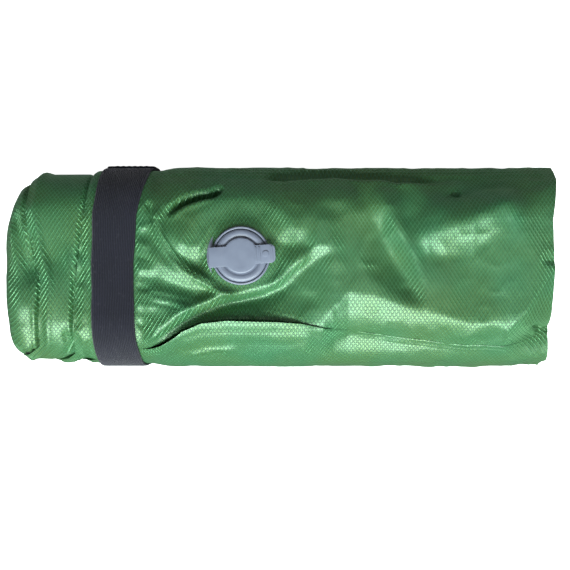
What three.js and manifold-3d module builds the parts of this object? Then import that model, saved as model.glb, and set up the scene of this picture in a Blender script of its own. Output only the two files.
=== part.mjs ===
// A self-inflating camp pillow, rolled up for packing and held by an elastic band.
// Units are millimetres. +X runs along the roll, +Z is up and z = 0 is the surface that the roll lies on.
// The pillow is one flat pad: two cover sheets welded together around a foam core. It is rolled up a
// little askew, so each turn sticks out further to the left (-X) than the turn outside it.
import * as THREE from "three";
import { mergeVertices } from "three/addons/utils/BufferGeometryUtils.js";
import Module from "manifold-3d";

const wasm = await Module();
wasm.setup();

// ---- Driving dimensions ------------------------------------------------------------------------

const ROLL_HALF_WIDTH = 61; // of the oval cross-section, along Y
const ROLL_HALF_HEIGHT = 45; // along Z
const ROLL_FLAT_SIDE = 11; // half the height of its flat sides
const FULL_TURNS = 2; // whole turns of the pad; a third one stops one step short of the free edge's place
const TURN_SHIFT = 18; // how far each turn sticks out past the one outside it
const PAD_WIDTH = 288; // across the pad, hem to hem, along X
const HEM_RAMP = 36; // from a welded edge at the roll's ends to where the foam is at its thickest
const FREE_EDGE_RAMP = 100; // the same from the pad's free edge, round the roll
const INNER_EDGE_RAMP = 70; // and from its other edge, in the middle of the roll
const CORE_HALF_HEIGHT = 6.3; // of the hole in the middle of the roll
const MOST_PUFF = 0.56; // the thickest that the foam swells where it has room, against the outline
const LEFT_END_ROUNDING = 30; // length over which the left end of the roll rounds off
const LEFT_END_SHARE = 0.66; // size of the very end there, against the outline

const COVER_THICKNESS = 0.6;
const WELD_GAP = 0.47; // between the two covers in the welded hem
const GAP = 0.3; // between pieces that touch
const TURN_GAP = 0.6; // between one turn and the next
const FOAM_CLEARANCE = 0.6; // from each cover to the foam
const JOIN = 0.2; // how far the shapes of one piece run into each other

const BAND_WIDTH = 25;
const BAND_THICKNESS = 1.4;
const BAND_CENTRE_X = -97;
const BAND_WAIST = 2; // how far the band squeezes the left end of the roll in
const WAIST_RAMP = 14; // length over which the roll swells again, right of the band
const BAND_CLEARANCE = 0.4;
const STITCH_WIDTH = 0.8;
const STITCH_THICKNESS = 0.4;
const STITCH_SIDE_MARGIN = 3.5; // from the band's edges to the stitching's middle
const STITCH_END_MARGIN = 0.8; // the same from the ends of the lap

const VALVE_X = -22;
const VALVE_Y = 6;
const VALVE_TURN = 4; // degrees, from the roll's own direction
const VALVE_SEAT_MARGIN = 1; // how much wider the roll's flat top is than the valve's flange
const PORT_RADIUS = 8; // of the inflation port, which the other valve sizes are counted from
const PLATE_SKIRT_WALL = 3.2; // of the deflation plate, round the port
const LEDGE_WIDTH = 4.1; // from the deflation port out to the rim
const RIM_WALL = 1.4;
const RIM_HEIGHT = 2; // above the cover
const RIM_NOTCH_DEPTH = 0.5; // where the plate's strap crosses the rim
const FLANGE_WIDTH = 3; // of the hidden flange that is welded under the cover, past the rim
const FLANGE_THICKNESS = 1;
const SOCKET_WALL = 1.5;
const SOCKET_DEPTH = 6;
const GUARD_THICKNESS = 1;
const GUARD_BAR = 1.6;
const RADIAL_CLEARANCE = 0.3;

const PLATE_EDGE_DROP = 0.9; // from the crest of the plate's domed ring to its outer edge
const PLATE_SHOULDER_DROP = 0.2; // and to points a shoulder's width to each side
const PLATE_SHOULDER = 1;
const PLATE_SEAT_DROP = 0.7; // and to the flat that the cap closes on
const PLATE_SKIRT_DEPTH = 3; // below the cover's surface
const PLATE_SKIRT_TAPER = 0.8;
const PLATE_STRAP_WIDTH = 11;
const PLATE_STRAP_THICKNESS = 0.8;
const PLATE_TAB_WIDTH = 8;
const PLATE_TAB_REACH = 1; // past the rim
const SPIDER_HUB_RADIUS = 2.6;
const SPIDER_THICKNESS = 1;
const SPIDER_ARM = 1.4;
const SPIDER_ARMS = 3;
const FLAP_OVERLAP = 1.2; // of the check flap, past the edge of the port that it closes
const FLAP_THICKNESS = 0.5;
const STEM_RADIUS = 1.2;
const KNOB_HEIGHT = 1;
const SEAL_THICKNESS = 0.9;

const CAP_OVERLAP = 2.4; // of the cap, past the port's edge
const CAP_THICKNESS = 1.7; // over the port
const CAP_PLUG_DEPTH = 2.4;
const CAP_PLUG_WALL = 1.4;
const STRAP_WIDTH = 11.7;
const STRAP_THICKNESS = 1;
const STRAP_FOOT_LENGTH = 1.2; // of the thicker end of the strap, at the hinge
const STRAP_FOOT_DEPTH = 0.4;
const TAB_WIDTH = 10.8;
const TAB_REACH = 3; // past the rim
const TAB_CORNER_RADIUS = 3;
const HINGE_REACH = 1.6; // of both living hinges, past the rim
const GRIP_RIB_HEIGHT = 0.5;
const GRIP_RIB_WIDTH = 0.9;
const GRIP_RIB_MARGIN = 1.2; // from the tab's sides
const GRIP_RIB_PLACES = [11.3, 9.1, 2]; // back from the tab's end
const GRIP_DOT_PLACE = 5.6;
const GRIP_DOT_RADIUS = 1.9;

// ---- Sizes that follow -------------------------------------------------------------------------

const ROLL_TOP_Z = 2 * ROLL_HALF_HEIGHT;
const CORE_SHARE = CORE_HALF_HEIGHT / ROLL_HALF_HEIGHT;
const THIN_SHARE = (2 * COVER_THICKNESS + WELD_GAP + TURN_GAP) / ROLL_HALF_HEIGHT;
const BAND_RIGHT_X = BAND_CENTRE_X + BAND_WIDTH / 2;
const BAND_LAP_HALF_LENGTH = ROLL_FLAT_SIDE;
const SOCKET_RADIUS = PORT_RADIUS + PLATE_SKIRT_WALL + RADIAL_CLEARANCE; // of the deflation port
const VALVE_RADIUS = SOCKET_RADIUS + LEDGE_WIDTH + RIM_WALL; // of the rim that shows
const FLANGE_RADIUS = VALVE_RADIUS + FLANGE_WIDTH;
const ROLL_FLAT_TOP = Math.abs(VALVE_Y) + FLANGE_RADIUS + VALVE_SEAT_MARGIN; // half of its width
const HINGE_X = -VALVE_RADIUS - HINGE_REACH; // from the valve's centre
const TAB_END_X = VALVE_RADIUS + TAB_REACH;
const CAP_RADIUS = PORT_RADIUS + CAP_OVERLAP;

// Heights above the cover: the plate closes on its seal, its strap crosses the rim in a notch, its tab
// lies over the rim, and the cap's sheet lies over the tab.
const FLANGE_TOP = -COVER_THICKNESS - GAP;
const FLANGE_BASE = FLANGE_TOP - FLANGE_THICKNESS;
const SEAL_BASE_Z = FLANGE_TOP + GAP;
const PLATE_BASE_Z = SEAL_BASE_Z + SEAL_THICKNESS + GAP;
const HINGE_EAR_TOP = RIM_HEIGHT - RIM_NOTCH_DEPTH;
const PLATE_TAB_Z = RIM_HEIGHT + GAP;
const PLATE_CREST_Z = PLATE_TAB_Z + PLATE_STRAP_THICKNESS;
const PLATE_SEAT_Z = PLATE_CREST_Z - PLATE_SEAT_DROP;
const STRAP_BASE_Z = PLATE_CREST_Z + GAP;
const CAP_TOP_Z = STRAP_BASE_Z + STRAP_THICKNESS;
const CAP_BASE_Z = CAP_TOP_Z - CAP_THICKNESS;

const ROUND = 36; // sides of a round valve piece

// ---- Solids ------------------------------------------------------------------------------------

function solid(geometry) {
  const bare = geometry.index ? geometry.toNonIndexed() : geometry.clone();
  for (const name of ["normal", "uv"]) bare.deleteAttribute(name);
  const merged = mergeVertices(bare, 1e-4);
  return new wasm.Manifold(
    new wasm.Mesh({
      numProp: 3,
      vertProperties: merged.getAttribute("position").array,
      triVerts: new Uint32Array(merged.index.array),
    }),
  );
}

function geometryOf(body) {
  const mesh = body.getMesh();
  const geometry = new THREE.BufferGeometry();
  geometry.setAttribute("position", new THREE.BufferAttribute(mesh.vertProperties, 3));
  geometry.setIndex(new THREE.BufferAttribute(mesh.triVerts, 1));
  return geometry;
}

function piece(name, geometry, material) {
  const mesh = new THREE.Mesh(geometry, material);
  mesh.name = name;
  return mesh;
}

// A solid turned about Z from a closed profile of [radius, z] points, taken anticlockwise.
function turned(profile) {
  const points = [...profile, profile[0]].map(([r, z]) => new THREE.Vector2(r, z));
  return solid(new THREE.LatheGeometry(points, ROUND).rotateX(Math.PI / 2));
}

function box(x0, x1, width, z0, z1) {
  const geometry = new THREE.BoxGeometry(x1 - x0, width, z1 - z0);
  return solid(geometry.translate((x0 + x1) / 2, 0, (z0 + z1) / 2));
}

function disc(x, y, radius, z0, z1) {
  const geometry = new THREE.CylinderGeometry(radius, radius, z1 - z0, ROUND).rotateX(Math.PI / 2);
  return solid(geometry.translate(x, y, (z0 + z1) / 2));
}

// ---- Cross-section of the roll -----------------------------------------------------------------

// One turn of the outline in the (y, z) plane about its centre. It starts at the pad's free edge, in the
// middle of the upper -Y corner, and runs down the -Y side, under the roll, up and back over the top.
// Straight sides stay whole, and each corner has ARC_STEPS steps. Each station has its place, its
// outward normal and its share of the turn.
const ARC_STEPS = 4;
const CORNER_Y = ROLL_HALF_WIDTH - ROLL_FLAT_TOP; // size of each rounded corner, along Y
const CORNER_Z = ROLL_HALF_HEIGHT - ROLL_FLAT_SIDE; // and along Z

function outlineStations() {
  const corners = [
    [-ROLL_FLAT_TOP, ROLL_FLAT_SIDE],
    [-ROLL_FLAT_TOP, -ROLL_FLAT_SIDE],
    [ROLL_FLAT_TOP, -ROLL_FLAT_SIDE],
    [ROLL_FLAT_TOP, ROLL_FLAT_SIDE],
  ];
  const points = corners.flatMap(([y, z], corner) =>
    Array.from({ length: ARC_STEPS + 1 }, (_, step) => {
      const angle = (Math.PI / 2) * (1 + corner + step / ARC_STEPS);
      const normal = new THREE.Vector2(Math.cos(angle), Math.sin(angle));
      const reach = Math.hypot(CORNER_Y * normal.x, CORNER_Z * normal.y);
      return {
        y: y + (CORNER_Y ** 2 * normal.x) / reach,
        z: z + (CORNER_Z ** 2 * normal.y) / reach,
        normal,
      };
    }),
  );
  const stations = [...points.slice(ARC_STEPS / 2), ...points.slice(0, ARC_STEPS / 2)];
  const lengths = stations.map((s, i) => {
    const next = stations[(i + 1) % stations.length];
    return Math.hypot(next.y - s.y, next.z - s.z);
  });
  const around = lengths.reduce((sum, length) => sum + length, 0);
  let walked = 0;
  for (const [i, station] of stations.entries()) {
    station.turn = walked / around;
    walked += lengths[i];
  }
  return { stations, around };
}

const { stations: STATIONS, around: ROUND_THE_ROLL } = outlineStations();
const LAST_STATION = (FULL_TURNS + 1) * STATIONS.length - 1;
const LAST_TURN = FULL_TURNS + STATIONS.at(-1).turn;
const PAD_SHIFT = TURN_SHIFT * LAST_TURN;
const ROLL_LENGTH = PAD_WIDTH + PAD_SHIFT;

function turnAt(index) {
  return Math.floor(index / STATIONS.length) + STATIONS[index % STATIONS.length].turn;
}

// The pad's left edge at a turn, counted from the free edge on the outside.
function leftEdge(turn) {
  return ROLL_LENGTH / 2 - PAD_WIDTH - TURN_SHIFT * turn;
}

function ramp(distance, length) {
  return Math.sin((Math.PI / 2) * THREE.MathUtils.clamp(distance / length, 0, 1));
}

// How full the pad is at a turn and an x, from 0 at a welded edge to 1, or null outside the pad.
function fullness(turn, x) {
  const across = x - leftEdge(turn);
  if (turn > LAST_TURN || across < -1e-6 || across > PAD_WIDTH + 1e-6) return null;
  const hems = ramp(across, HEM_RAMP) * ramp(PAD_WIDTH - across, HEM_RAMP);
  const outerEdge = ramp(turn * ROUND_THE_ROLL, FREE_EDGE_RAMP);
  const innerEdge = ramp((LAST_TURN - turn) * ROUND_THE_ROLL * CORE_SHARE * 2, INNER_EDGE_RAMP);
  return hems * outerEdge * innerEdge;
}

// The roll keeps its full outline up to the right end, and rounds off towards the left end.
function endShare(x) {
  const past = THREE.MathUtils.clamp((LEFT_END_ROUNDING - ROLL_LENGTH / 2 - x) / LEFT_END_ROUNDING, 0, 1);
  return LEFT_END_SHARE + (1 - LEFT_END_SHARE) * Math.sqrt(1 - past * past);
}

// Shares of the outline at which a turn of the pad starts and ends, with the turns stacked from
// the outside inwards and the foam swelling to fill the roll down to the core where it can.
function layer(index, x) {
  const first = index % STATIONS.length;
  const turns = [];
  for (let i = first; i <= LAST_STATION; i += STATIONS.length) {
    turns.push({ i, full: fullness(turnAt(i), x) });
  }
  const present = turns.filter((t) => t.full !== null);
  let outside = endShare(x);
  const room = Math.max(0, outside - CORE_SHARE - present.length * THIN_SHARE);
  const filled = present.reduce((sum, t) => sum + t.full, 0);
  const puff = Math.min(MOST_PUFF, room / Math.max(filled, 1e-6));
  for (const t of present) {
    const inside = outside - THIN_SHARE - t.full * puff;
    if (t.i === index) return { inside, outside };
    outside = inside;
  }
  throw new Error("no turn there");
}

// The roll is squeezed in from the left end to the band, and swells again to the right of it. The
// swelling starts a whole place across the pad later, so that no facet rises under the band.
function waist(x) {
  const start = BAND_RIGHT_X + TURN_SHIFT;
  return BAND_WAIST * (1 - THREE.MathUtils.smoothstep(x, start, start + WAIST_RAMP));
}

function rollPoint(index, x, share, inwards) {
  const s = STATIONS[index % STATIONS.length];
  const move = inwards + share * waist(x);
  return new THREE.Vector3(
    x,
    share * s.y - move * s.normal.x,
    ROLL_HALF_HEIGHT + share * s.z - move * s.normal.y,
  );
}

// ---- The pad's three layers --------------------------------------------------------------------

// Places across the pad where the layers bend. They repeat each turn's shift, so that the facets of
// one turn lie along those of the next, from the left edge past the valve and again near the right edge.
function placesAcross() {
  const far = [5, 4, 3, 2, 1, 0].map((n) => PAD_WIDTH - n * TURN_SHIFT);
  const valveSide = VALVE_X + FLANGE_RADIUS - leftEdge(0);
  const near = Array.from({ length: Math.ceil(valveSide / TURN_SHIFT) + 2 }, (_, n) => n * TURN_SHIFT);
  return [...near.filter((place) => place < far[0] - TURN_SHIFT / 2), ...far];
}

// A closed sheet with one face on each side: outer(index, x) and inner(index, x) give its points.
function rolledSheet(firstIndex, lastIndex, places, outer, inner) {
  const rows = lastIndex - firstIndex + 1;
  const columns = places.length;
  const positions = [];
  for (const side of [outer, inner]) {
    for (let i = firstIndex; i <= lastIndex; i++) {
      for (const place of places) positions.push(...side(i, leftEdge(turnAt(i)) + place).toArray());
    }
  }
  const at = (side, row, column) => side * rows * columns + row * columns + column;
  const faces = [];
  const quad = (a, b, c, d) => faces.push(a, c, b, a, d, c);
  for (let r = 0; r < rows - 1; r++) {
    for (let c = 0; c < columns - 1; c++) {
      quad(at(0, r, c), at(0, r, c + 1), at(0, r + 1, c + 1), at(0, r + 1, c));
      quad(at(1, r, c), at(1, r + 1, c), at(1, r + 1, c + 1), at(1, r, c + 1));
    }
    quad(at(0, r, 0), at(0, r + 1, 0), at(1, r + 1, 0), at(1, r, 0));
    const last = columns - 1;
    quad(at(0, r, last), at(1, r, last), at(1, r + 1, last), at(0, r + 1, last));
  }
  for (let c = 0; c < columns - 1; c++) {
    quad(at(0, 0, c), at(1, 0, c), at(1, 0, c + 1), at(0, 0, c + 1));
    quad(at(0, rows - 1, c), at(0, rows - 1, c + 1), at(1, rows - 1, c + 1), at(1, rows - 1, c));
  }
  const geometry = new THREE.BufferGeometry();
  geometry.setAttribute("position", new THREE.Float32BufferAttribute(positions, 3));
  geometry.setIndex(faces);
  return solid(geometry);
}

const fromOutside = (depth) => (i, x) => rollPoint(i, x, layer(i, x).outside, depth);
const fromInside = (height) => (i, x) => rollPoint(i, x, layer(i, x).inside, -TURN_GAP - height);

// The cover that faces outwards, with the hole for the valve.
function outerCover() {
  const sheet = rolledSheet(0, LAST_STATION, placesAcross(), fromOutside(0), fromOutside(COVER_THICKNESS));
  const hole = disc(
    VALVE_X,
    VALVE_Y,
    VALVE_RADIUS + RADIAL_CLEARANCE,
    ROLL_TOP_Z - 2 * COVER_THICKNESS,
    ROLL_TOP_Z + COVER_THICKNESS,
  );
  return sheet.subtract(hole);
}

function innerCover() {
  return rolledSheet(0, LAST_STATION, placesAcross(), fromInside(COVER_THICKNESS), fromInside(0));
}

// Foam between the covers, inside the welded edge, with a pocket under the valve.
function foamCore() {
  const places = placesAcross().slice(1, -1);
  const depth = COVER_THICKNESS + FOAM_CLEARANCE;
  const slab = rolledSheet(1, LAST_STATION - 1, places, fromOutside(depth), fromInside(depth));
  const pocket = disc(
    VALVE_X,
    VALVE_Y,
    FLANGE_RADIUS + 2 * RADIAL_CLEARANCE,
    ROLL_TOP_Z - SOCKET_DEPTH - GUARD_THICKNESS - 2 * GAP,
    ROLL_TOP_Z,
  );
  return slab.subtract(pocket);
}

// ---- Elastic band ------------------------------------------------------------------------------

const BAND_INSET = BAND_WAIST - BAND_CLEARANCE; // from the full outline to the band's inner face
const LAP_FACE_Y = ROLL_HALF_WIDTH - BAND_INSET + 2 * BAND_THICKNESS; // outer face of the sewn lap

// The roll's outline, moved in by a distance along its normals.
function bandOutline(shape, inset) {
  const [first, ...rest] = STATIONS.map((s) => [s.y - inset * s.normal.x, s.z - inset * s.normal.y]);
  shape.moveTo(...first);
  for (const point of rest) shape.lineTo(...point);
  return shape;
}

// The loop, with its two ends lapped over each other on the +Y side.
function elasticBand() {
  const section = bandOutline(new THREE.Shape(), BAND_INSET - BAND_THICKNESS);
  section.holes.push(bandOutline(new THREE.Path(), BAND_INSET));
  const loop = new THREE.ExtrudeGeometry(section, { depth: BAND_WIDTH, bevelEnabled: false });
  // The section's x, y become Y, Z, and the extrusion runs along +X.
  const turn = new THREE.Matrix4().makeBasis(
    new THREE.Vector3(0, 1, 0),
    new THREE.Vector3(0, 0, 1),
    new THREE.Vector3(1, 0, 0),
  );
  loop.applyMatrix4(turn).translate(BAND_CENTRE_X - BAND_WIDTH / 2, 0, ROLL_HALF_HEIGHT);
  const lap = new THREE.BoxGeometry(BAND_WIDTH, BAND_THICKNESS + JOIN, 2 * BAND_LAP_HALF_LENGTH);
  lap.translate(BAND_CENTRE_X, LAP_FACE_Y - (BAND_THICKNESS + JOIN) / 2, ROLL_HALF_HEIGHT);
  return solid(loop).add(solid(lap));
}

// Thread that sews the lap: a box of stitching with a cross in it, lying on the band.
function bandStitching() {
  const bar = (length, x, z, angle) => {
    const geometry = new THREE.BoxGeometry(length, STITCH_THICKNESS, STITCH_WIDTH);
    return solid(geometry.rotateY(angle).translate(x, 0, z));
  };
  const halfWidth = BAND_WIDTH / 2 - STITCH_SIDE_MARGIN;
  const halfLength = BAND_LAP_HALF_LENGTH - STITCH_END_MARGIN;
  const slant = Math.atan2(halfLength, halfWidth);
  const across = 2 * Math.hypot(halfWidth, halfLength);
  const quarter = Math.PI / 2;
  return [
    bar(2 * halfWidth + STITCH_WIDTH, 0, halfLength, 0),
    bar(2 * halfWidth + STITCH_WIDTH, 0, -halfLength, 0),
    bar(2 * halfLength, halfWidth, 0, quarter),
    bar(2 * halfLength, -halfWidth, 0, quarter),
    bar(across, 0, 0, slant),
    bar(across, 0, 0, -slant),
  ].reduce((all, next) => all.add(next));
}

// ---- Valve -------------------------------------------------------------------------------------
// Modelled about its own axis, with z = 0 on the outer face of the cover.

// Welded flange, the rim that shows through the cover, the deflation port and the ear of the hinge.
function valveBase() {
  const inside = VALVE_RADIUS - RIM_WALL;
  const soften = RADIAL_CLEARANCE;
  const body = turned([
    [FLANGE_RADIUS, FLANGE_BASE],
    [FLANGE_RADIUS, FLANGE_TOP],
    [VALVE_RADIUS, FLANGE_TOP],
    [VALVE_RADIUS, RIM_HEIGHT - soften],
    [VALVE_RADIUS - soften, RIM_HEIGHT],
    [inside + soften, RIM_HEIGHT],
    [inside, RIM_HEIGHT - soften],
    [inside, FLANGE_TOP],
    [SOCKET_RADIUS, FLANGE_TOP],
    [SOCKET_RADIUS, -SOCKET_DEPTH],
    [SOCKET_RADIUS + SOCKET_WALL, -SOCKET_DEPTH],
    [SOCKET_RADIUS + SOCKET_WALL, FLANGE_BASE],
  ]);
  const notchWidth = PLATE_STRAP_WIDTH + 2 * RADIAL_CLEARANCE;
  const notch = box(HINGE_X, -inside / 2, notchWidth, HINGE_EAR_TOP, RIM_HEIGHT + JOIN);
  const ear = box(HINGE_X + 2 * RADIAL_CLEARANCE, -inside, PLATE_STRAP_WIDTH, GAP, HINGE_EAR_TOP);
  return body.subtract(notch).add(ear);
}

// Grid under the port, which keeps the foam from being sucked into it.
function valveGuard() {
  const outside = SOCKET_RADIUS + SOCKET_WALL;
  const top = -SOCKET_DEPTH - GAP;
  const base = top - GUARD_THICKNESS;
  const hoop = turned([
    [SOCKET_RADIUS, base],
    [outside, base],
    [outside, top],
    [SOCKET_RADIUS, top],
  ]);
  const reach = SOCKET_RADIUS + SOCKET_WALL / 2;
  const bar = box(-reach, reach, GUARD_BAR, base, top);
  return hoop.add(bar).add(bar.rotate([0, 0, 90]));
}

// Plug of the deflation port: a domed ring with a tapered skirt, a spider that carries the check
// flap, a strap to the hinge and a small lift tab.
function deflationPlate() {
  const outside = VALVE_RADIUS - RIM_WALL - RADIAL_CLEARANCE;
  const skirt = SOCKET_RADIUS - RADIAL_CLEARANCE;
  const seat = CAP_RADIUS + RADIAL_CLEARANCE;
  const crest = (outside + seat) / 2;
  const ring = turned([
    [PORT_RADIUS, -PLATE_SKIRT_DEPTH],
    [skirt - PLATE_SKIRT_TAPER, -PLATE_SKIRT_DEPTH],
    [skirt, PLATE_BASE_Z],
    [outside, PLATE_BASE_Z],
    [outside, PLATE_CREST_Z - PLATE_EDGE_DROP],
    [crest + PLATE_SHOULDER, PLATE_CREST_Z - PLATE_SHOULDER_DROP],
    [crest, PLATE_CREST_Z],
    [crest - PLATE_SHOULDER, PLATE_CREST_Z - PLATE_SHOULDER_DROP],
    [seat, PLATE_SEAT_Z],
    [PORT_RADIUS, PLATE_SEAT_Z],
  ]);
  const spiderTop = SPIDER_THICKNESS - PLATE_SKIRT_DEPTH;
  const hub = disc(0, 0, SPIDER_HUB_RADIUS, -PLATE_SKIRT_DEPTH, spiderTop);
  const arm = box(0, PORT_RADIUS + JOIN, SPIDER_ARM, -PLATE_SKIRT_DEPTH, spiderTop);
  let spider = hub;
  for (let i = 0; i < SPIDER_ARMS; i++) spider = spider.add(arm.rotate([0, 0, (360 / SPIDER_ARMS) * i]));
  const stemHole = disc(0, 0, STEM_RADIUS + RADIAL_CLEARANCE, -PLATE_SKIRT_DEPTH - JOIN, spiderTop + JOIN);
  const strapBase = HINGE_EAR_TOP + GAP;
  const strapEnd = HINGE_X + RADIAL_CLEARANCE;
  const strap = box(strapEnd, -crest, PLATE_STRAP_WIDTH, strapBase, strapBase + PLATE_STRAP_THICKNESS);
  const tab = box(crest, VALVE_RADIUS + PLATE_TAB_REACH, PLATE_TAB_WIDTH, PLATE_TAB_Z, PLATE_CREST_Z);
  return ring.add(spider.subtract(stemHole)).add(strap).add(tab);
}

// Flat ring that the deflation plate closes on.
function plateSeal() {
  const inside = SOCKET_RADIUS + RADIAL_CLEARANCE;
  const outside = VALVE_RADIUS - RIM_WALL - 2 * RADIAL_CLEARANCE;
  return turned([
    [inside, SEAL_BASE_Z],
    [outside, SEAL_BASE_Z],
    [outside, SEAL_BASE_Z + SEAL_THICKNESS],
    [inside, SEAL_BASE_Z + SEAL_THICKNESS],
  ]);
}

// Silicone umbrella that lets air in and not out: a thin disc below the spider, its stem through
// the hub and a knob that holds it there.
function checkFlap() {
  const spiderBase = -PLATE_SKIRT_DEPTH;
  const discTop = spiderBase - GAP;
  const knobBase = spiderBase + SPIDER_THICKNESS + GAP;
  const knob = SPIDER_HUB_RADIUS - RADIAL_CLEARANCE;
  const radius = PORT_RADIUS + FLAP_OVERLAP;
  return turned([
    [0, discTop - FLAP_THICKNESS],
    [radius, discTop - FLAP_THICKNESS],
    [radius, discTop],
    [STEM_RADIUS, discTop],
    [STEM_RADIUS, knobBase],
    [knob, knobBase],
    [STEM_RADIUS, knobBase + KNOB_HEIGHT],
    [0, knobBase + KNOB_HEIGHT],
  ]);
}

const STRAP_END_X = HINGE_X + RADIAL_CLEARANCE / 2;

// Outline of the cap from above: a disc with a strap on the hinge side and a round-ended tab.
function capOutline() {
  const strapHalf = STRAP_WIDTH / 2;
  const tabHalf = TAB_WIDTH / 2;
  const meets = (half) => Math.asin(half / CAP_RADIUS);
  const round = TAB_CORNER_RADIUS;
  const shape = new THREE.Shape();
  shape.moveTo(STRAP_END_X, -strapHalf);
  shape.absarc(0, 0, CAP_RADIUS, Math.PI + meets(strapHalf), 2 * Math.PI - meets(tabHalf), false);
  shape.absarc(TAB_END_X - round, -tabHalf + round, round, -Math.PI / 2, 0, false);
  shape.absarc(TAB_END_X - round, tabHalf - round, round, 0, Math.PI / 2, false);
  shape.absarc(0, 0, CAP_RADIUS, meets(tabHalf), Math.PI - meets(strapHalf), false);
  shape.lineTo(STRAP_END_X, strapHalf);
  return shape;
}

// Flip cap of the inflation port, moulded in one piece with its strap, plug and grip tab.
function inflationCap() {
  const sheet = new THREE.ExtrudeGeometry(capOutline(), {
    depth: STRAP_THICKNESS,
    bevelEnabled: false,
    curveSegments: 8,
  });
  const top = solid(sheet.translate(0, 0, STRAP_BASE_Z));
  const plugTop = CAP_TOP_Z - STRAP_THICKNESS / 2;
  const plugOutside = PORT_RADIUS - RADIAL_CLEARANCE;
  const plug = turned([
    [plugOutside - CAP_PLUG_WALL, CAP_BASE_Z],
    [plugOutside - CAP_PLUG_WALL, CAP_BASE_Z - CAP_PLUG_DEPTH],
    [plugOutside - RADIAL_CLEARANCE, CAP_BASE_Z - CAP_PLUG_DEPTH],
    [plugOutside, CAP_BASE_Z],
    [CAP_RADIUS, CAP_BASE_Z],
    [CAP_RADIUS, plugTop],
    [0, plugTop],
    [0, CAP_BASE_Z],
  ]);
  const footEnd = STRAP_END_X + STRAP_FOOT_LENGTH;
  const foot = box(STRAP_END_X, footEnd, STRAP_WIDTH, STRAP_BASE_Z - STRAP_FOOT_DEPTH, STRAP_BASE_Z + JOIN);
  const ribTop = CAP_TOP_Z + GRIP_RIB_HEIGHT;
  const ribLength = TAB_WIDTH - 2 * GRIP_RIB_MARGIN;
  const ribs = GRIP_RIB_PLACES.map((place) => {
    const x = TAB_END_X - place;
    return box(x - GRIP_RIB_WIDTH / 2, x + GRIP_RIB_WIDTH / 2, ribLength, CAP_TOP_Z - JOIN, ribTop);
  });
  const dot = disc(TAB_END_X - GRIP_DOT_PLACE, 0, GRIP_DOT_RADIUS, CAP_TOP_Z - JOIN, ribTop);
  return [plug, foot, dot, ...ribs].reduce((all, next) => all.add(next), top);
}

// ---- Materials and assembly --------------------------------------------------------------------

const coatedFabric = new THREE.MeshStandardMaterial({ color: 0x3f8f4a, roughness: 0.35, metalness: 0 });
const foam = new THREE.MeshStandardMaterial({ color: 0xe6e2d2, roughness: 0.95, metalness: 0 });
const elastic = new THREE.MeshStandardMaterial({ color: 0x1d1a26, roughness: 0.85, metalness: 0 });
const thread = new THREE.MeshStandardMaterial({ color: 0x14121a, roughness: 0.7, metalness: 0 });
const greyMoulding = new THREE.MeshStandardMaterial({ color: 0x8791a6, roughness: 0.45, metalness: 0 });
const silicone = new THREE.MeshStandardMaterial({ color: 0xd8dadb, roughness: 0.4, metalness: 0 });

const pillow = new THREE.Group();
pillow.add(
  piece("outer_cover", geometryOf(outerCover()), coatedFabric),
  piece("inner_cover", geometryOf(innerCover()), coatedFabric),
  piece("foam_core", geometryOf(foamCore()), foam),
  piece("elastic_band", geometryOf(elasticBand()), elastic),
);

const stitching = piece("band_stitching", geometryOf(bandStitching()), thread);
stitching.position.set(BAND_CENTRE_X, LAP_FACE_Y + GAP + STITCH_THICKNESS / 2, ROLL_HALF_HEIGHT);
pillow.add(stitching);

const valve = new THREE.Group();
valve.position.set(VALVE_X, VALVE_Y, ROLL_TOP_Z);
valve.rotation.z = THREE.MathUtils.degToRad(VALVE_TURN);
valve.add(
  piece("valve_base", geometryOf(valveBase()), greyMoulding),
  piece("valve_guard", geometryOf(valveGuard()), greyMoulding),
  piece("deflation_plate", geometryOf(deflationPlate()), greyMoulding),
  piece("plate_seal", geometryOf(plateSeal()), silicone),
  piece("check_flap", geometryOf(checkFlap()), silicone),
  piece("inflation_cap", geometryOf(inflationCap()), greyMoulding),
);
pillow.add(valve);

export default pillow;
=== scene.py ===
import math

import bmesh
import bpy
import numpy as np
from mathutils import Matrix, Vector, geometry


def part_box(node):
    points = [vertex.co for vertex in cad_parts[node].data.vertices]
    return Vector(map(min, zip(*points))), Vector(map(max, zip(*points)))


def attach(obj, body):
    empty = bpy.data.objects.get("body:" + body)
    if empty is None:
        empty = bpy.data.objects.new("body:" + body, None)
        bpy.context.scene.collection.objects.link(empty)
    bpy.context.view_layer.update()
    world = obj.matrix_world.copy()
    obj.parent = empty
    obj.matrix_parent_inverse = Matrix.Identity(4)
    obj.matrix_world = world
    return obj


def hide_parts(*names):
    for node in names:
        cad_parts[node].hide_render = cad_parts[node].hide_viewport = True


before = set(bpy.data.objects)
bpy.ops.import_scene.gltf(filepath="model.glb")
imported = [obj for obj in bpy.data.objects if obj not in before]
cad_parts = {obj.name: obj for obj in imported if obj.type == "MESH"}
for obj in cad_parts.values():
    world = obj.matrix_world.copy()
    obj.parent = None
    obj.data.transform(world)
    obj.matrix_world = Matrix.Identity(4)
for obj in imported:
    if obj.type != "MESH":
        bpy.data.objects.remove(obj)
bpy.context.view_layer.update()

# ---- Stage ------------------------------------------------------------------------------------------
# A white floor, one broad cool light low on the -Y side, a weak fill, and a camera straight above.

scene = bpy.context.scene
scene.view_settings.view_transform = "Standard"


def add_light(name, place, target, size, watts, colour):
    lamp = bpy.data.lights.new(name, "AREA")
    lamp.shape = "RECTANGLE"
    lamp.size, lamp.size_y = size
    lamp.energy = watts
    lamp.color = colour
    holder = bpy.data.objects.new(name, lamp)
    holder.location = place
    holder.rotation_euler = (Vector(target) - Vector(place)).to_track_quat("-Z", "Y").to_euler()
    scene.collection.objects.link(holder)


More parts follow.
